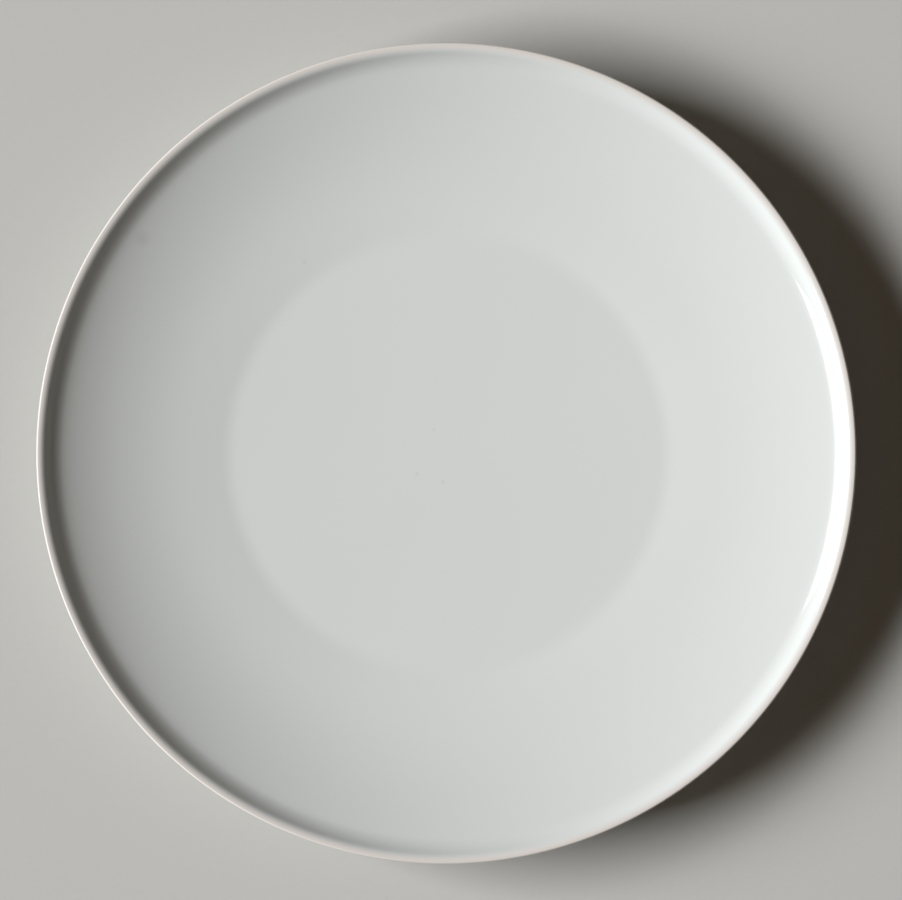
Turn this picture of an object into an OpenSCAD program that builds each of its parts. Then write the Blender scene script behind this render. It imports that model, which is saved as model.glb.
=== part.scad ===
// Coupe dinner plate in glazed porcelain: a jiggered body with a turned foot ring,
// and the glaze that is fired onto it everywhere but on the foot.
// Millimetres. The plate stands on z = 0 and is round about the Z axis.

/* [Plate] */
// Diameter over the lip, glaze included
plate_d = 270; // [240:1:310]
// Height of the lip above the table, glaze included
plate_h = 22.5; // [19:0.5:30]

/* [Well] */
// Diameter of the well, to the corner where the flare sets off
well_d = 145; // [110:1:170]
// Rise of the dished well from its middle to that corner
well_dish = 1.05; // [0.25:0.05:1.5]
// Thickness of the body under the middle of the well
well_t = 4; // [3:0.1:6]
// Radius that eases the well into the flare
well_ease_r = 60; // [10:1:100]

/* [Flare] */
// Depth of the flare's belly below a straight line from the well to the lip
flare_belly = 2.4; // [0.2:0.1:4]
// Place of the belly's corner, as a share of the way from the well to the lip
belly_share = 0.6; // [0.4:0.05:0.7]
// Thickness of the body where the flare reaches the lip
flare_t = 2.6; // [2:0.1:4]

/* [Lip] */
// Height of the lip above the corner where it leaves the flare
lip_rise = 3.6; // [2.5:0.05:6]
// Slope of the lip's wall from level, in degrees
lip_slope = 45; // [40:1:65]
// Thickness of the body in the lip's wall
lip_t = 1.5; // [1.4:0.05:3]
// Radius on the outer edge of the lip
lip_edge_r = 0.3; // [0.2:0.05:0.45]
// Width of the level band on the crown of the lip
lip_crown_w = 0.05; // [0.05:0.05:0.3]
// Radius of the cove between the flare and the lip
cove_r = 11; // [4:0.2:16]

/* [Foot] */
// Outer diameter of the foot ring at the table
foot_d = 156; // [120:1:190]
// Width of the foot ring at the table
foot_w = 4; // [3:0.1:8]
// Depth of the hollow inside the foot ring
foot_h = 2.8; // [2:0.1:5]
// Draft of the foot ring's sides from upright, in degrees
foot_draft = 20; // [5:1:35]
// Radius on the edges that stand on the table
foot_edge_r = 0.8; // [0.3:0.1:1.2]
// Radius at the roots of the foot ring
foot_root_r = 2; // [1:0.1:4]

/* [Glaze] */
// Thickness of the glaze
glaze_t = 0.3; // [0.2:0.05:0.5]
// Height above the table to which the foot ring is wiped bare
dry_h = 1; // [0.5:0.1:1.6]

/* [Hidden] */
$fn = 180;
// Degrees that one chord of a rounded corner turns, and the fewest chords in a corner
chord_turn = 4;
chords_least = 6;
// Share of a side that the roundings at its two ends may take up
rounding_share = 0.98;
// Share of the shorter side of its corner that the belly's rounding takes up
belly_ease_share = 0.8;
// The same for the corner halfway out that dishes the well
dish_ease_share = 0.9;
// How far a cutting shape runs past what it cuts
overrun = 1;

// Straight lines and rounded corners. A corner is [radius from the axis, height, rounding].
// A list of corners runs clockwise, from the axis over the face and back under the base.

function heading(angle) = [cos(angle), sin(angle)];
function left_of(v) = [-v.y, v.x];
function unit(v) = v / norm(v);
function turned(v, angle) = [v.x * cos(angle) - v.y * sin(angle), v.x * sin(angle) + v.y * cos(angle)];
function slope_of(v) = atan2(v.y, v.x);

// Where the line through p at slope a crosses the line through q at slope b
function meet(p, a, q, b) = p + heading(a) * cross(q - p, heading(b)) / cross(heading(a), heading(b));

function place(corner) = [corner[0], corner[1]];
function side(corners, i) = place(corners[i + 1]) - place(corners[i]);
function at_end(corners, i) = i == 0 || i == len(corners) - 1;
function turn(corners, i) =
    let (before = side(corners, i - 1), after = side(corners, i))
    atan2(cross(before, after), before * after);
// Length of the sides that the rounding at a corner takes up
function reach(corners, i) = at_end(corners, i) ? 0 : corners[i][2] * tan(abs(turn(corners, i)) / 2);

// The same corners, with roundings that would run into each other made smaller
function shrink(corners, i) =
    let (before = reach(corners, i - 1) + reach(corners, i), after = reach(corners, i) + reach(corners, i + 1))
    min(
        1,
        rounding_share * norm(side(corners, i - 1)) / before,
        rounding_share * norm(side(corners, i)) / after
    );
function fitted(corners) = [
    for (i = [0 : len(corners) - 1])
        [corners[i][0], corners[i][1], at_end(corners, i) ? 0 : corners[i][2] * shrink(corners, i)]
];

// The same outline, moved outwards by a distance everywhere
function shift_at(corners, i) =
    let (
        before = i == 0 ? undef : left_of(unit(side(corners, i - 1))),
        after = i == len(corners) - 1 ? undef : left_of(unit(side(corners, i)))
    )
    i == 0 ? after : is_undef(after) ? before : (before + after) / (1 + before * after);
function outset(corners, distance) = [
    for (i = [0 : len(corners) - 1])
        let (
            p = place(corners[i]) + distance * shift_at(corners, i),
            rounding = at_end(corners, i) ? 0 : corners[i][2] - distance * sign(turn(corners, i))
        )
        [p.x, p.y, rounding]
];

// The points of the arc that rounds a corner
function arc(corners, i) =
    let (
        bend = turn(corners, i),
        along = unit(side(corners, i - 1)),
        inward = sign(bend) * corners[i][2] * left_of(along),
        centre = place(corners[i]) - reach(corners, i) * along + inward,
        chords = max(chords_least, ceil(abs(bend) / chord_turn))
    )
    [for (k = [0 : chords]) centre - turned(inward, bend * k / chords)];
function outline(corners) = [
    for (i = [0 : len(corners) - 1])
        each at_end(corners, i) ? [place(corners[i])] : arc(corners, i)
];

// The body's section, under its glaze

well_r = well_d / 2;
floor_z = foot_h + well_t;
crown_z = plate_h - glaze_t;
lip_edge_turn = 180 - lip_slope;

// The lip leans out at lip_slope: its edge touches the plate's radius, its crown takes the rest
lip_edge_reach = lip_edge_r * tan(lip_edge_turn / 2);
lip_edge = [plate_d / 2 - glaze_t - lip_edge_r + lip_edge_reach, crown_z];
lip_crown_reach = lip_t / sin(lip_slope) - lip_edge_reach - lip_crown_w;
lip_crown_r = lip_crown_reach / tan(lip_slope / 2);
lip_crown = lip_edge - [lip_t / sin(lip_slope), 0];

// The well is dished by a slight corner, halfway out, with a very wide rounding
dish_corner = [well_r / 2, floor_z];
well_corner = [well_r, floor_z + well_dish];
dish_turn = slope_of(well_corner - dish_corner);
dish_r = dish_ease_share * dish_corner.x / tan(dish_turn / 2);

// The flare climbs from the well's corner to the lip's, and its belly makes it ever steeper
cove_corner = lip_crown - lip_rise * [1 / tan(lip_slope), 1];
belly_corner = well_corner + belly_share * (cove_corner - well_corner) - [0, flare_belly];
flare_in = belly_corner - well_corner;
flare_out = cove_corner - belly_corner;
belly_turn = slope_of(flare_out) - slope_of(flare_in);
belly_reach = belly_ease_share * min(norm(flare_in), norm(flare_out));
belly_r = belly_reach / tan(belly_turn / 2);

// The back follows the face at the wall's thickness, from the foot ring to the lip
back_of_flare = cove_corner - flare_t * left_of(unit(flare_out));
back_cove_corner = meet(lip_edge, lip_slope, back_of_flare, slope_of(flare_out));
back_cove_r = cove_r + lip_t;
foot_r = foot_d / 2;
over_foot_z = well_corner.y + max(0, foot_r - well_r) * flare_in.y / flare_in.x;
over_foot = [foot_r, over_foot_z - well_t];
back_slope = slope_of(back_cove_corner - over_foot);

// The foot ring stands on the table, with drafted sides and rounded roots
foot_outside = [foot_r, 0];
foot_inside = [foot_r - foot_w, 0];
outer_root = meet(foot_outside, 90 - foot_draft, over_foot, back_slope);
inner_root = meet(foot_inside, 90 + foot_draft, [0, foot_h], 0);

body_corners = fitted([
    [0, floor_z, 0],
    [dish_corner.x, dish_corner.y, dish_r],
    [well_corner.x, well_corner.y, well_ease_r],
    [belly_corner.x, belly_corner.y, belly_r],
    [cove_corner.x, cove_corner.y, cove_r],
    [lip_crown.x, lip_crown.y, lip_crown_r],
    [lip_edge.x, lip_edge.y, lip_edge_r],
    [back_cove_corner.x, back_cove_corner.y, back_cove_r],
    [outer_root.x, outer_root.y, foot_root_r],
    [foot_outside.x, foot_outside.y, foot_edge_r],
    [foot_inside.x, foot_inside.y, foot_edge_r],
    [inner_root.x, inner_root.y, foot_root_r],
    [0, foot_h, 0]
]);

// The part of the section inside the foot ring, up to the middle of the base
module base_zone() {
    square([foot_r - foot_w / 2, foot_h + well_t / 2]);
}

// The skin of glaze round the section, wiped away near the table
module glaze_section() {
    difference() {
        polygon(outline(outset(body_corners, glaze_t)));
        polygon(outline(body_corners));
        translate([-overrun, -glaze_t - overrun])
            square([plate_d / 2 + overrun, dry_h + glaze_t + overrun]);
    }
}

module porcelain_body() {
    color([0.93, 0.91, 0.87])
        rotate_extrude()
            polygon(outline(body_corners));
}

// Glaze over the face, the lip and the back, down to the outside of the foot ring
module glaze_coat() {
    color([0.86, 0.87, 0.85])
        rotate_extrude()
            difference() {
                glaze_section();
                base_zone();
            }
}

// Glaze on the base, inside the foot ring
module base_glaze() {
    color([0.82, 0.83, 0.81])
        rotate_extrude()
            intersection() {
                glaze_section();
                base_zone();
            }
}

porcelain_body();
glaze_coat();
base_glaze();
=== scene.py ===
# %% [markdown]
# # A coupe dinner plate
# This lesson dresses a dinner plate for a studio picture. A coupe plate has no raised border: a
# barely dished well eases into a wide, low flare, and the flare turns up into a small lip. The real
# one is porcelain, shaped on a wheel, dipped in glaze and fired standing on a foot ring that was
# wiped bare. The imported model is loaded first, because it fixes where everything is and how large
# it may be.

# %% Load the frame
import math

import bmesh
import bpy
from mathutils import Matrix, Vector, geometry, noise
from mathutils.bvhtree import BVHTree


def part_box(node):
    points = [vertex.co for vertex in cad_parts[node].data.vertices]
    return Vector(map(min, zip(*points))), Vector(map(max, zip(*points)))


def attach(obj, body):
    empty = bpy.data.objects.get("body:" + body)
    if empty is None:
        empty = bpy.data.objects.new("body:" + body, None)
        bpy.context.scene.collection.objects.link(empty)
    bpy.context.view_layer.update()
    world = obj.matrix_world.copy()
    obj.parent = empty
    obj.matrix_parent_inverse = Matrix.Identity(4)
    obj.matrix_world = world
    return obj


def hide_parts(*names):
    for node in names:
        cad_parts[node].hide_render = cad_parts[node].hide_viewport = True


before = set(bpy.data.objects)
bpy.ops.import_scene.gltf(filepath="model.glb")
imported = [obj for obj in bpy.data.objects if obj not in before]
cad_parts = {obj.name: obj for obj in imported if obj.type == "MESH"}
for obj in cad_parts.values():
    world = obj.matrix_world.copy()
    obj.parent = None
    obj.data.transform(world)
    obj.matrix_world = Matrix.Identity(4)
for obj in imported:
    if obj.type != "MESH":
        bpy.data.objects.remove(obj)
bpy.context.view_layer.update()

MM = 0.001

# %% [markdown]
# ## The camera
# The plate is seen from above, so its outline is nearly a true circle. Its place in the picture
# gives the scale: so many pixels of radius for so many millimetres. From a few metres up, the lens
# is then a matter of similar triangles. The well's circle lies a little right of and below the
# rim's, and the well is deeper, so the camera leans that way by a few degrees. The side that it
# leans to is nearer and looks larger, so it aims a little to that side to keep the rim in place.

# %% Place the camera
IMAGE_W_PX = 902
IMAGE_H_PX = 900
RIM_CENTRE_PX = Vector((446.26, 453.29))
RIM_RADIUS_PX = 410.8
SENSOR_W = 36 * MM
CAMERA_DISTANCE = 3000 * MM
LEAN_RIGHT = math.radians(3.2)
LEAN_DOWN = math.radians(0.9)

coat_low, coat_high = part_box("glaze_coat")
plate_r = coat_high.x
plate_h = coat_high.z
pixel_size = plate_r / RIM_RADIUS_PX


def level_with_rim(pixel_x, pixel_y):
    """The point level with the rim that shows at a pixel of the picture."""
    return Vector((
        (pixel_x - RIM_CENTRE_PX.x) * pixel_size,
        (RIM_CENTRE_PX.y - pixel_y) * pixel_size,
        plate_h,
    ))


camera_data = bpy.data.cameras.new("overhead_camera")
camera_data.sensor_fit = "HORIZONTAL"
camera_data.sensor_width = SENSOR_W / MM
camera_data.lens = SENSOR_W / MM * CAMERA_DISTANCE / (IMAGE_W_PX * pixel_size)
camera = bpy.data.objects.new("overhead_camera", camera_data)
camera.rotation_euler = (LEAN_DOWN, LEAN_RIGHT, 0)
picture_middle = level_with_rim(IMAGE_W_PX / 2, IMAGE_H_PX / 2)
near_side = Vector((math.sin(LEAN_RIGHT), -math.sin(LEAN_DOWN), 0))
aim = picture_middle + near_side * plate_r**2 / CAMERA_DISTANCE
camera.location = aim + camera.rotation_euler.to_matrix() @ Vector((0, 0, CAMERA_DISTANCE))
bpy.context.scene.collection.objects.link(camera)
bpy.context.scene.camera = camera
print("Lens:", round(camera_data.lens, 1), "mm, pixel:", round(pixel_size / MM, 4), "mm")

# %% [markdown]
# ## The section of the plate
# A plate is shaped by a profile held against turning clay, so the whole body is one section spun
# round an axis. The section is a short chain of corners. Each corner carries the radius that the
# potter's profile gives it there: a very wide one where the well eases into the flare, a cove
# under the lip, a tight one on the lip's edge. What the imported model's boxes can tell, such as the
# glaze's thickness, is read from them, and the rest is written here as real sizes.

# %% Sizes of the section
body_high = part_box("porcelain_body")[1]
base_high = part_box("base_glaze")[1]
crown_z = body_high.z
glaze_t = plate_h - crown_z
dry_h = coat_low.z
foot_h = base_high.z

well_r = 72.5 * MM
well_dish = 1.05 * MM
dish_ease_share = 0.9
well_t = 4 * MM
well_ease_r = 60 * MM
flare_belly = 2.4 * MM
flare_t = 2.6 * MM
belly_share = 0.6
belly_ease_share = 0.8
lip_rise = 3.6 * MM
lip_slope = math.radians(45)
lip_t = 1.5 * MM
lip_edge_r = 0.3 * MM
lip_crown_w = 0.05 * MM
cove_r = 11 * MM
foot_r = 78 * MM
foot_w = 4 * MM
foot_draft = math.radians(20)
foot_edge_r = 0.8 * MM
foot_root_r = 2 * MM
print("Glaze:", round(glaze_t / MM, 3), "mm, wiped to:", round(dry_h / MM, 3), "mm")

# %% [markdown]
# ## Corners from sizes
# A point of the section is at (radius, 0, height), so the section stands upright in the XZ plane.
# The lip comes first: working from the rim inwards keeps its edge on the plate's true radius,
# whatever its slope and thickness are.

# %% Corners of the lip


def section_point(radius, height):
    """A point of the section, or a step from one to another."""
    return Vector((radius, 0, height))


rim_r = plate_r - glaze_t
crest_r = rim_r - lip_edge_r
lip_edge_reach = lip_edge_r * math.tan((math.pi - lip_slope) / 2)
lip_edge = section_point(crest_r + lip_edge_reach, crown_z)
lip_crown = lip_edge - section_point(lip_t / math.sin(lip_slope), 0)
lip_crown_reach = lip_t / math.sin(lip_slope) - lip_edge_reach - lip_crown_w
lip_crown_r = lip_crown_reach / math.tan(lip_slope / 2)
cove_corner = lip_crown - section_point(lip_rise / math.tan(lip_slope), lip_rise)
print("Lip: crest at", round(crest_r / MM, 2), "mm, crown radius", round(lip_crown_r / MM, 2), "mm")

# %% [markdown]
# ## The well and the flare
# The well isn't quite flat. One slight corner, halfway out, dishes it by about a millimetre, with a
# rounding so wide that it takes up most of the well. The flare climbs ever more steeply, so it has a
# corner as well: its belly, which hangs below a straight line from the well to the lip.

# %% Corners of the well and the flare


def slope_of(side):
    """The angle at which a side of the section climbs."""
    return math.atan2(side.z, side.x)


floor_z = foot_h + well_t
dish_corner = section_point(well_r / 2, floor_z)
well_corner = section_point(well_r, floor_z + well_dish)
dish_turn = slope_of(well_corner - dish_corner)
dish_r = dish_ease_share * dish_corner.x / math.tan(dish_turn / 2)
belly_corner = well_corner.lerp(cove_corner, belly_share) - section_point(0, flare_belly)
flare_in = belly_corner - well_corner
flare_out = cove_corner - belly_corner
belly_turn = flare_in.angle(flare_out)
belly_reach = belly_ease_share * min(flare_in.length, flare_out.length)
belly_r = belly_reach / math.tan(belly_turn / 2)
flare_slopes = slope_of(flare_in), slope_of(flare_out)
print("Flare climbs at", [round(math.degrees(slope), 2) for slope in flare_slopes], "degrees")

# %% [markdown]
# ## The back and the foot ring
# The back follows the face at the wall's thickness, which is greatest over the foot and least in the
# lip. The foot ring is turned from the same clay, with drafted sides and a narrow face to stand on.
# Its roots are where those sides cross the back and the base.

# %% Corners of the back and the foot ring


def heading(slope):
    """A step of length one that climbs at a slope."""
    return Vector((math.cos(slope), 0, math.sin(slope)))


def meet(start, start_slope, other, other_slope):
    """Where two straight lines of the section cross."""
    ends = start, start + heading(start_slope), other, other + heading(other_slope)
    return geometry.intersect_line_line(*ends)[0]


flare_normal = heading(slope_of(flare_out) + math.pi / 2)
back_of_flare = cove_corner - flare_t * flare_normal
back_cove_corner = meet(lip_edge, lip_slope, back_of_flare, slope_of(flare_out))
over_foot_z = well_corner.z + (foot_r - well_r) * flare_in.z / flare_in.x
over_foot = section_point(foot_r, over_foot_z - well_t)
back_slope = slope_of(back_cove_corner - over_foot)
foot_outside = section_point(foot_r, 0)
foot_inside = section_point(foot_r - foot_w, 0)
outer_root = meet(foot_outside, math.pi / 2 - foot_draft, over_foot, back_slope)
inner_root = meet(foot_inside, math.pi / 2 + foot_draft, section_point(0, foot_h), 0)

section_corners = [
    (section_point(0, floor_z), 0),
    (dish_corner, dish_r),
    (well_corner, well_ease_r),
    (belly_corner, belly_r),
    (cove_corner, cove_r),
    (lip_crown, lip_crown_r),
    (lip_edge, lip_edge_r),
    (back_cove_corner, cove_r + lip_t),
    (outer_root, foot_root_r),
    (foot_outside, foot_edge_r),
    (foot_inside, foot_edge_r),
    (inner_root, foot_root_r),
    (section_point(0, foot_h), 0),
]
print("Section:", len(section_corners), "corners, back at", round(math.degrees(back_slope), 2), "degrees")

# %% [markdown]
# ## Rounding the corners
# A vertex bevel of a wire would round its corners, but its curve is a true arc only at a right angle.
# Spin draws true arcs at any angle: one vertex, set where the rounding starts, is carried round the
# rounding's centre and leaves a run of short edges. Straight edges then join one arc to the next.

# %% Make the wire
TURN_PER_SEGMENT = math.radians(4)
FEWEST_SEGMENTS = 6
LONGEST_EDGE = 8 * MM
# A turn about this axis carries the radius towards the height, so left turns are positive
SECTION_AXIS = (0, -1, 0)


def section_wire(corners):
    """A bmesh with one open wire through the corners, each rounded to its radius."""
    bm = bmesh.new()
    last = bm.verts.new(corners[0][0])
    for (before, _), (place, radius), (after, _) in zip(corners, corners[1:], corners[2:]):
        way_in = slope_of(place - before)
        turn = math.remainder(slope_of(after - place) - way_in, 2 * math.pi)
        reach = radius * math.tan(abs(turn) / 2)
        start = bm.verts.new(place - reach * heading(way_in))
        bm.edges.new((last, start))
        arc = bmesh.ops.spin(
            bm,
            geom=[start],
            axis=SECTION_AXIS,
            cent=start.co + radius * heading(way_in + math.copysign(math.pi / 2, turn)),
            angle=turn,
            steps=max(FEWEST_SEGMENTS, math.ceil(abs(turn) / TURN_PER_SEGMENT)),
        )
        last = arc["geom_last"][0]
    bm.edges.new((last, bm.verts.new(corners[-1][0])))
    for edge in bm.edges[:]:
        cuts = int(edge.calc_length() / LONGEST_EDGE)
        if cuts:
            bmesh.ops.subdivide_edges(bm, edges=[edge], cuts=cuts)
    return bm


plate_wire = section_wire(section_corners)
print("Wire:", len(plate_wire.verts), "points")

# %% [markdown]
# ## Turning the body
# Spin does what the wheel does: it carries the wire once round the axis and joins the last step to
# the first. Where the wire meets the axis, all the steps leave their vertices on one spot, so those
# are merged into a pole. A lathe-like spin can come out with its faces turned inwards, so the
# normals are recalculated once the mesh is closed.

# %% Spin the porcelain body
TURN_STEPS = 256
MERGE_DISTANCE = 0.001 * MM


def spun(wire):
    """The wire spun into a closed shell, facing outwards."""
    bmesh.ops.spin(
        wire,
        geom=wire.verts[:] + wire.edges[:],
        axis=(0, 0, 1),
        cent=(0, 0, 0),
        angle=2 * math.pi,
        steps=TURN_STEPS,
        use_merge=True,
    )
    bmesh.ops.remove_doubles(wire, verts=wire.verts[:], dist=MERGE_DISTANCE)
    bmesh.ops.recalc_face_normals(wire, faces=wire.faces[:])
    return wire


def finished_piece(name, bm, node):
    """A smooth object from the bmesh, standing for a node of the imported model."""
    for face in bm.faces:
        face.smooth = True
    mesh = bpy.data.meshes.new(name)
    bm.to_mesh(mesh)
    piece = bpy.data.objects.new(name, mesh)
    bpy.context.scene.collection.objects.link(piece)
    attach(piece, "root")
    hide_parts(node)
    open_edges = sum(not edge.is_manifold for edge in bm.edges)
    print(name + ":", len(bm.faces), "faces,", open_edges, "open edges,",
          round(bm.calc_volume(signed=True) / MM**3), "mm3")
    return piece


body_shell = spun(plate_wire)
porcelain_body = finished_piece("turned_porcelain_body", body_shell, "porcelain_body")

# %% [markdown]
# ## Dipping it in glaze
# Glaze is a coat of even thickness, so it is made from the body's own surface: a copy is cut level
# just above the table, as a sponge wipes the foot, and what is left gets a thickness. The cut leaves
# two pieces, one over the face, lip and back, and one inside the foot ring. A sponge wanders a
# little, so the cut edge is moved up and down the foot's side by smooth noise.

# %% Cut the glaze from the body
WIPE_WANDER = 0.1 * MM
WIPE_WAVES = 3
base_zone_r = foot_r - foot_w / 2
base_zone_z = foot_h + well_t / 2


def in_base_zone(face):
    """Whether a face is on the base or the inner side of the foot ring."""
    centre = face.calc_center_median()
    return centre.xy.length < base_zone_r and centre.z < base_zone_z


def wiped_edge_wander(bm):
    """Moves the cut edge up and down the foot's drafted side, a little and smoothly."""
    for vert in bm.verts:
        if not vert.is_boundary:
            continue
        direction = vert.co.xy.normalized()
        lift = WIPE_WANDER * noise.noise((*(WIPE_WAVES * direction), vert.co.xy.length / foot_w))
        outward = math.copysign(math.tan(foot_draft), vert.co.xy.length - base_zone_r)
        vert.co += Vector((*(lift * outward * direction), lift))


def glaze_skin(inside_foot):
    """The body's surface on one side of the wiped foot, still without thickness."""
    bm = body_shell.copy()
    bmesh.ops.bisect_plane(
        bm,
        geom=bm.verts[:] + bm.edges[:] + bm.faces[:],
        plane_co=(0, 0, dry_h),
        plane_no=(0, 0, 1),
        clear_inner=True,
    )
    other_side = [face for face in bm.faces if in_base_zone(face) != inside_foot]
    bmesh.ops.delete(bm, geom=other_side, context="FACES")
    wiped_edge_wander(bm)
    return bm


coat_shell = glaze_skin(inside_foot=False)
base_shell = glaze_skin(inside_foot=True)
print("Skins:", len(coat_shell.faces), "and", len(base_shell.faces), "faces")

# %% [markdown]
# ## Thickness and a melted edge
# Solidify gives the skins their thickness, outwards from the body, and closes them at the wiped edge.
# Melted glass draws its edge into a bead, so the edge that stands away from the body is bevelled. The
# bead's edge is found by its sharpness, and it is the one further from the middle of the foot.

# %% Thicken the glaze and round its edge
BEAD_SHARE = 0.6
BEAD_SEGMENTS = 3
SHARP_ANGLE = math.radians(60)


def from_foot_middle(edge):
    """How far an edge is from the middle of the foot ring's width."""
    return min(abs(vert.co.xy.length - base_zone_r) for vert in edge.verts)


def fired(bm):
    """The skin with the glaze's thickness, and a bead along its wiped edge."""
    bmesh.ops.solidify(bm, geom=bm.faces[:], thickness=-glaze_t)
    bmesh.ops.recalc_face_normals(bm, faces=bm.faces[:])
    sharp = [edge for edge in bm.edges if edge.calc_face_angle(0) > SHARP_ANGLE]
    middle = sum(map(from_foot_middle, sharp)) / len(sharp)
    bmesh.ops.bevel(
        bm,
        geom=[edge for edge in sharp if from_foot_middle(edge) > middle],
        offset=BEAD_SHARE * glaze_t,
        affect="EDGES",
        segments=BEAD_SEGMENTS,
        profile=0.5,
        material=-1,
    )
    return bm


glaze_coat = finished_piece("fired_glaze_coat", fired(coat_shell), "glaze_coat")
base_glaze = finished_piece("fired_base_glaze", fired(base_shell), "base_glaze")

# %% [markdown]
# ## Helpers for materials
# Colours are written as sRGB hex values, the way a colour picker shows them, and turned to the
# linear light that shaders work in. A node tree is easier to read when each node is one call that
# names its settings and what feeds it, so one small function does that for every kind of node.

# %% Colour and node helpers


def linear(hex_colour):
    """A colour written as sRGB hex, as linear red, green, blue and alpha."""
    srgb = [int(hex_colour[start:start + 2], 16) / 255 for start in (1, 3, 5)]
    light = [c / 12.92 if c <= 0.04045 else ((c + 0.055) / 1.055) ** 2.4 for c in srgb]
    return (*light, 1.0)


def add_node(tree, kind, settings=None, inputs=None):
    """Adds a node, sets its properties, and sets or links its inputs."""
    node = tree.nodes.new(kind)
    for name, value in (settings or {}).items():
        setattr(node, name, value)
    for socket, value in (inputs or {}).items():
        if isinstance(value, bpy.types.NodeSocket):
            tree.links.new(value, node.inputs[socket])
        else:
            node.inputs[socket].default_value = value
    return node


def new_material(name):
    """An empty node material and its tree."""
    material = bpy.data.materials.new(name)
    material.use_nodes = True
    material.node_tree.nodes.clear()
    return material, material.node_tree


def per_size(size):
    """A texture scale at which one feature is about this size."""
    return 1 / size


HALF_GREY = "#808080"
print("Half grey in linear light:", round(linear(HALF_GREY)[0], 3))

# %% [markdown]
# ## Clear glaze over white porcelain
# The glaze is a thin clear glass, so the eye sees the white body through it, a little greyed, and a
# sharp mirror image of the lights on top. Its colour isn't even: it drifts a little from place to
# place, greys along the flare towards the cove, where the glaze lies thicker, and warms on the crest
# of the lip. That warmth is partly real, because the glaze is thin there and the body shows, and
# partly a painted glow of light shining through the thin porcelain of the lip. The last two follow
# the distance from the axis, so they are worked out from the radius.

# %% Glaze colour by radius
GLAZE_WHITE = "#DDE1E0"
GLAZE_CLOUD = "#DADEDC"
GLAZE_POOLED = "#D5D9D8"
# The lip's warm colour is partly thin glaze over the body and partly a painted glow of light through the
# thin lip
LIP_THIN_GLAZE_AND_GLOW = "#DED9D4"
LIP_BLEND = 1 * MM
CLOUD_SIZE = 70 * MM
CLOUD_DETAIL = 3.0

glaze, tree = new_material("clear_glaze_on_white_porcelain")
where = add_node(tree, "ShaderNodeTexCoord").outputs["Object"]
level = add_node(
    tree, "ShaderNodeVectorMath", {"operation": "MULTIPLY"}, {0: where, 1: (1, 1, 0)}
).outputs["Vector"]
radius = add_node(
    tree, "ShaderNodeVectorMath", {"operation": "LENGTH"}, {0: level}
).outputs["Value"]
clouds = add_node(
    tree,
    "ShaderNodeTexNoise",
    inputs={"Vector": where, "Scale": per_size(CLOUD_SIZE), "Detail": CLOUD_DETAIL},
)
white = add_node(
    tree,
    "ShaderNodeMix",
    {"data_type": "RGBA"},
    {"Factor": clouds.outputs["Fac"], "A": linear(GLAZE_WHITE), "B": linear(GLAZE_CLOUD)},
)
towards_cove = add_node(
    tree,
    "ShaderNodeMapRange",
    {"interpolation_type": "SMOOTHSTEP"},
    {"Value": radius, "From Min": well_r, "From Max": cove_corner.x},
)
pooled = add_node(
    tree,
    "ShaderNodeMix",
    {"data_type": "RGBA"},
    {"Factor": towards_cove.outputs["Result"], "A": white.outputs["Result"], "B": linear(GLAZE_POOLED)},
)
# On the lip's crest the colour turns warm: partly thin glaze, partly a painted glow of light through the
# lip
on_lip = add_node(
    tree,
    "ShaderNodeMapRange",
    {"interpolation_type": "SMOOTHSTEP"},
    {
        "Value": radius,
        "From Min": lip_crown.x - LIP_BLEND / 2,
        "From Max": lip_crown.x + LIP_BLEND / 2,
    },
)
clean_colour = add_node(
    tree,
    "ShaderNodeMix",
    {"data_type": "RGBA"},
    {"Factor": on_lip.outputs["Result"], "A": pooled.outputs["Result"], "B": linear(LIP_THIN_GLAZE_AND_GLOW)},
)
print("Glaze greys from", round(well_r / MM, 1), "to", round(cove_corner.x / MM, 1), "mm")

# %% [markdown]
# ## Marks in the glaze
# No plate comes out of a kiln spotless: a few grains of iron in the clay show as faint specks, and
# one soft smudge lies on the flare. Each is a small ball, darkest in its middle, set on the glaze
# where a ray from the camera through its pixel hits the face, so it can't show on the back as well.
# The balls are joined by taking the darkest, so a new mark is one more place in a list.

# %% Specks and a smudge
MARK_COLOUR = "#A5A5A1"
SPECK_SIZE = 1.8 * MM
SPECK_DEPTH = 0.18
SMUDGE_SIZE = 8 * MM
SMUDGE_DEPTH = 0.2
SPECKS_PX = (435, 430), (418, 474), (444, 482), (305, 262)
SMUDGE_PX = (142, 238)

glaze_surface = BVHTree.FromBMesh(coat_shell)


def seen_at(pixel_x, pixel_y):
    """The point of the glaze that the camera sees at a pixel of the picture."""
    sight = level_with_rim(pixel_x, pixel_y) - camera.location
    return glaze_surface.ray_cast(camera.location, sight)[0]


marks = [(seen_at(*place), SPECK_SIZE, SPECK_DEPTH) for place in SPECKS_PX]
marks.append((seen_at(*SMUDGE_PX), SMUDGE_SIZE, SMUDGE_DEPTH))
darkness = 0.0
for place, size, depth in marks:
    from_mark = add_node(
        tree, "ShaderNodeVectorMath", {"operation": "DISTANCE"}, {0: where, 1: place}
    )
    ball = add_node(
        tree,
        "ShaderNodeMapRange",
        {"interpolation_type": "SMOOTHSTEP"},
        {"Value": from_mark.outputs["Value"], "From Min": size / 2, "From Max": 0.0, "To Max": depth},
    )
    darkest = add_node(
        tree, "ShaderNodeMath", {"operation": "MAXIMUM"}, {0: ball.outputs["Result"], 1: darkness}
    )
    darkness = darkest.outputs["Value"]
colour = add_node(
    tree,
    "ShaderNodeMix",
    {"data_type": "RGBA"},
    {"Factor": darkness, "A": clean_colour.outputs["Result"], "B": linear(MARK_COLOUR)},
)
print("Marks at heights of", [round(place.z / MM, 2) for place, _, _ in marks], "mm")

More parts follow.
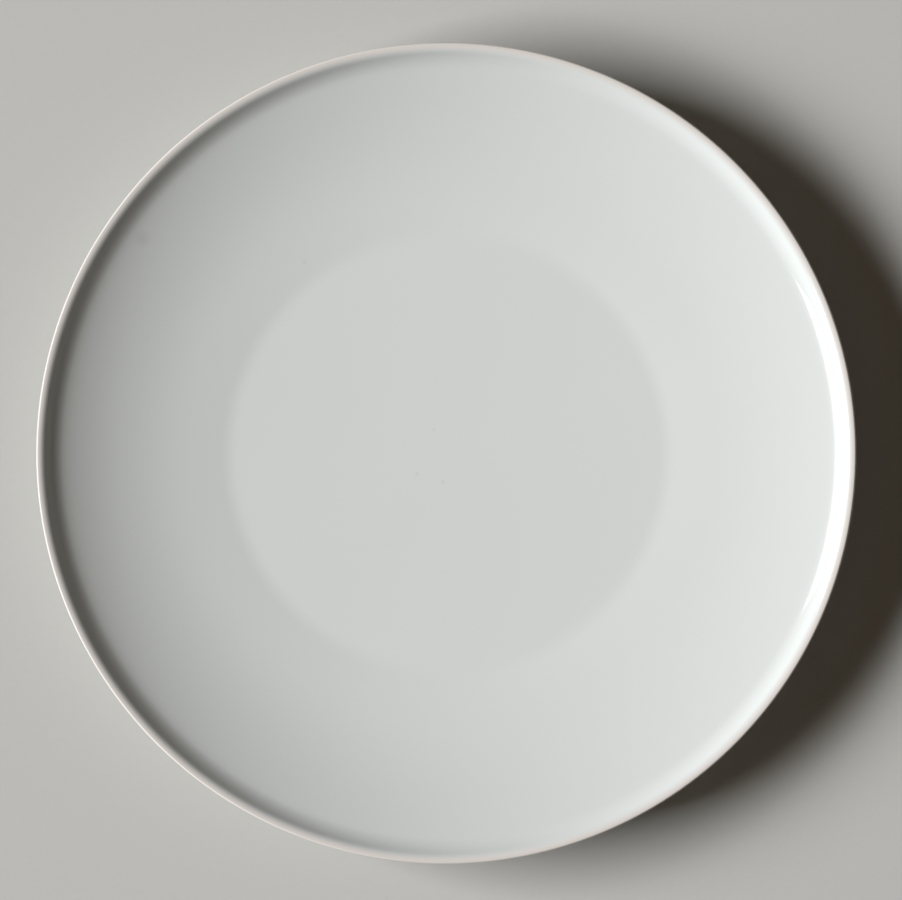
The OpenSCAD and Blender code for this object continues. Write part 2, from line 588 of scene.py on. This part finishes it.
# %% [markdown]
# ## The gloss of the glaze
# Fired glass is smooth, so its roughness is very low, with a slow drift where the kiln was hotter.
# Forks and knives scuff the well, and the scuffs scatter a little more light. Real scratches are finer
# than a pixel, so they are drawn coarser here, as a twisted noise. The surface also keeps a long soft
# ripple, like orange peel, a few microns high.

# %% Glaze roughness and ripple
GLAZE_IOR = 1.5
GLAZE_SMOOTHEST = 0.03
GLAZE_ROUGHEST = 0.06
SHEEN_SIZE = 25 * MM
SHEEN_DETAIL = 4.0
SCRATCH_SIZE = 0.7 * MM
SCRATCH_DETAIL = 2.0
SCRATCH_TWIST = 3.0
SCRATCH_ROUGHNESS = 0.05
PEEL_SIZE = 6 * MM
PEEL_DETAIL = 1.0
PEEL_HEIGHT = 0.004 * MM

sheen = add_node(
    tree,
    "ShaderNodeTexNoise",
    inputs={"Vector": where, "Scale": per_size(SHEEN_SIZE), "Detail": SHEEN_DETAIL},
)
gloss = add_node(
    tree,
    "ShaderNodeMapRange",
    inputs={"Value": sheen.outputs["Fac"], "To Min": GLAZE_SMOOTHEST, "To Max": GLAZE_ROUGHEST},
)
scratches = add_node(
    tree,
    "ShaderNodeTexNoise",
    inputs={
        "Vector": where,
        "Scale": per_size(SCRATCH_SIZE),
        "Detail": SCRATCH_DETAIL,
        "Distortion": SCRATCH_TWIST,
    },
)
in_well = add_node(
    tree,
    "ShaderNodeMapRange",
    {"interpolation_type": "SMOOTHSTEP"},
    {"Value": radius, "From Min": well_r, "From Max": dish_corner.x, "To Max": SCRATCH_ROUGHNESS},
)
roughness = add_node(
    tree,
    "ShaderNodeMath",
    {"operation": "MULTIPLY_ADD"},
    {0: scratches.outputs["Fac"], 1: in_well.outputs["Result"], 2: gloss.outputs["Result"]},
)
peel = add_node(
    tree,
    "ShaderNodeTexNoise",
    inputs={"Vector": where, "Scale": per_size(PEEL_SIZE), "Detail": PEEL_DETAIL},
)
ripple = add_node(
    tree, "ShaderNodeBump", inputs={"Height": peel.outputs["Fac"], "Distance": PEEL_HEIGHT}
)
glaze_shader = add_node(
    tree,
    "ShaderNodeBsdfPrincipled",
    inputs={
        "Base Color": colour.outputs["Result"],
        "Roughness": roughness.outputs["Value"],
        "IOR": GLAZE_IOR,
        "Normal": ripple.outputs["Normal"],
    },
)
add_node(tree, "ShaderNodeOutputMaterial", inputs={"Surface": glaze_shader.outputs["BSDF"]})
for piece in (glaze_coat, base_glaze):
    piece.data.materials.append(glaze)
print("Glaze material:", len(tree.nodes), "nodes")

# %% [markdown]
# ## Bare porcelain
# The foot that stood on the kiln shelf has no glaze. It is fired clay, warmer and matt, with a fine
# grain that the sponge left and faint stains from tables it has stood on. The grain is drawn coarser
# than a real one, so that it shows.

# %% Bare porcelain material
BISCUIT = "#E3DED3"
BISCUIT_STAIN = "#D3CBBC"
BISCUIT_IOR = 1.5
BISCUIT_SMOOTHEST = 0.6
BISCUIT_ROUGHEST = 0.85
GRAIN_SIZE = 0.6 * MM
GRAIN_DETAIL = 3.0
GRAIN_HEIGHT = 0.03 * MM
STAIN_SIZE = 9 * MM
STAIN_DETAIL = 5.0

biscuit, tree = new_material("bare_fired_porcelain")
where = add_node(tree, "ShaderNodeTexCoord").outputs["Object"]
stain = add_node(
    tree,
    "ShaderNodeTexNoise",
    inputs={"Vector": where, "Scale": per_size(STAIN_SIZE), "Detail": STAIN_DETAIL},
)
colour = add_node(
    tree,
    "ShaderNodeMix",
    {"data_type": "RGBA"},
    {"Factor": stain.outputs["Fac"], "A": linear(BISCUIT), "B": linear(BISCUIT_STAIN)},
)
grain = add_node(
    tree,
    "ShaderNodeTexNoise",
    inputs={"Vector": where, "Scale": per_size(GRAIN_SIZE), "Detail": GRAIN_DETAIL},
)
roughness = add_node(
    tree,
    "ShaderNodeMapRange",
    inputs={"Value": grain.outputs["Fac"], "To Min": BISCUIT_SMOOTHEST, "To Max": BISCUIT_ROUGHEST},
)
tooth = add_node(
    tree, "ShaderNodeBump", inputs={"Height": grain.outputs["Fac"], "Distance": GRAIN_HEIGHT}
)
biscuit_shader = add_node(
    tree,
    "ShaderNodeBsdfPrincipled",
    inputs={
        "Base Color": colour.outputs["Result"],
        "Roughness": roughness.outputs["Result"],
        "IOR": BISCUIT_IOR,
        "Normal": tooth.outputs["Normal"],
    },
)
add_node(tree, "ShaderNodeOutputMaterial", inputs={"Surface": biscuit_shader.outputs["BSDF"]})
porcelain_body.data.materials.append(biscuit)
print("Bare porcelain material:", len(tree.nodes), "nodes")

# %% [markdown]
# ## The floor
# The plate stands on a sheet of pale board, just under its foot so that the two faces don't flicker.
# It is a light grey and not white, so that the white rim still stands out from it. The board's fibres
# are drawn coarser than real ones, as a faint fleck.

# %% Floor
FLOOR_R = 4000 * MM
FLOOR_SEGMENTS = 96
FLOOR_DROP = 0.05 * MM
FLOOR_GREY = "#C7C7C4"
FLOOR_FLECK = "#C4C4C1"
BOARD_ROUGHNESS = 0.9
FIBRE_SIZE = 2 * MM
FIBRE_DETAIL = 4.0

floor_mesh = bmesh.new()
bmesh.ops.create_circle(floor_mesh, cap_ends=True, segments=FLOOR_SEGMENTS, radius=FLOOR_R)
bmesh.ops.translate(floor_mesh, verts=floor_mesh.verts[:], vec=(0, 0, -FLOOR_DROP))
floor_data = bpy.data.meshes.new("pale_floor")
floor_mesh.to_mesh(floor_data)
floor = bpy.data.objects.new("pale_floor", floor_data)
bpy.context.scene.collection.objects.link(floor)

board, tree = new_material("matt_pale_board")
where = add_node(tree, "ShaderNodeTexCoord").outputs["Object"]
fibre = add_node(
    tree,
    "ShaderNodeTexNoise",
    inputs={"Vector": where, "Scale": per_size(FIBRE_SIZE), "Detail": FIBRE_DETAIL},
)
colour = add_node(
    tree,
    "ShaderNodeMix",
    {"data_type": "RGBA"},
    {"Factor": fibre.outputs["Fac"], "A": linear(FLOOR_GREY), "B": linear(FLOOR_FLECK)},
)
board_shader = add_node(
    tree,
    "ShaderNodeBsdfPrincipled",
    inputs={"Base Color": colour.outputs["Result"], "Roughness": BOARD_ROUGHNESS},
)
add_node(tree, "ShaderNodeOutputMaterial", inputs={"Surface": board_shader.outputs["BSDF"]})
floor_data.materials.append(board)
print("Floor:", round(2 * FLOOR_R, 1), "m across")

# %% [markdown]
# ## The softbox
# A white plate is read by its shading, so one soft lamp stands low on the left and little else
# lights the plate. Its mirror image is the bright crescent in the cove on the right: where the
# crescent starts and ends gives the lamp's elevation, width and height. It stands far off, so that
# the light is even over the plate. Seen from the far side, the mirror image of so strong a lamp would
# blot out the well. So the softbox is two lamps in one place, and the glaze mirrors only the weaker
# of them.

# %% Softbox
LAMP_DISTANCE = 10000 * MM
LAMP_ELEVATION = math.radians(31)
LAMP_AZIMUTH = math.radians(180)
LAMP_W = 6730 * MM
LAMP_H = 4030 * MM
LAMP_WATTS = 1680
MIRRORED_SHARE = 0.25


def softbox(name, watts, mirrored):
    """A soft lamp that faces the plate, with or without a mirror image in the glaze."""
    lamp_data = bpy.data.lights.new(name, "AREA")
    lamp_data.shape = "RECTANGLE"
    lamp_data.size = LAMP_W
    lamp_data.size_y = LAMP_H
    lamp_data.energy = watts
    lamp = bpy.data.objects.new(name, lamp_data)
    lamp.location = LAMP_DISTANCE * Vector((
        math.cos(LAMP_ELEVATION) * math.cos(LAMP_AZIMUTH),
        math.cos(LAMP_ELEVATION) * math.sin(LAMP_AZIMUTH),
        math.sin(LAMP_ELEVATION),
    ))
    lamp.rotation_euler = lamp.location.to_track_quat("Z", "Y").to_euler()
    lamp.visible_camera = False
    lamp.visible_glossy = mirrored
    bpy.context.scene.collection.objects.link(lamp)
    print(name + ":", round(LAMP_W, 2), "by", round(LAMP_H, 2), "m,", round(watts), "W")


softbox("mirrored_softbox", MIRRORED_SHARE * LAMP_WATTS, mirrored=True)
softbox("scattering_softbox", (1 - MIRRORED_SHARE) * LAMP_WATTS, mirrored=False)

# %% [markdown]
# ## The surroundings
# The room gives back a little warm light, which fills the shade under the lip. What the camera sees
# past the floor, and what the glaze mirrors, is a pale backdrop, so the world is mixed by the kind of
# ray: dim and warm for light that falls on the plate, pale for what is seen.

# %% Surroundings
AMBIENT = "#FFDDB0"
AMBIENT_STRENGTH = 0.05
BACKDROP = "#D6D6D4"

world = bpy.data.worlds.new("studio")
bpy.context.scene.world = world
world.use_nodes = True
tree = world.node_tree
tree.nodes.clear()
ray = add_node(tree, "ShaderNodeLightPath")
seen_or_mirrored = add_node(
    tree,
    "ShaderNodeMath",
    {"operation": "MAXIMUM"},
    {0: ray.outputs["Is Camera Ray"], 1: ray.outputs["Is Glossy Ray"]},
)
shows_backdrop = add_node(
    tree,
    "ShaderNodeMath",
    {"operation": "MAXIMUM"},
    {0: seen_or_mirrored.outputs["Value"], 1: ray.outputs["Is Transmission Ray"]},
)
ambient = add_node(
    tree, "ShaderNodeBackground", inputs={"Color": linear(AMBIENT), "Strength": AMBIENT_STRENGTH}
)
backdrop = add_node(tree, "ShaderNodeBackground", inputs={"Color": linear(BACKDROP)})
surroundings = add_node(
    tree,
    "ShaderNodeMixShader",
    inputs={
        0: shows_backdrop.outputs["Value"],
        1: ambient.outputs["Background"],
        2: backdrop.outputs["Background"],
    },
)
add_node(tree, "ShaderNodeOutputWorld", inputs={"Surface": surroundings.outputs["Shader"]})

bpy.context.scene.view_settings.view_transform = "Standard"
print("World:", len(tree.nodes), "nodes")
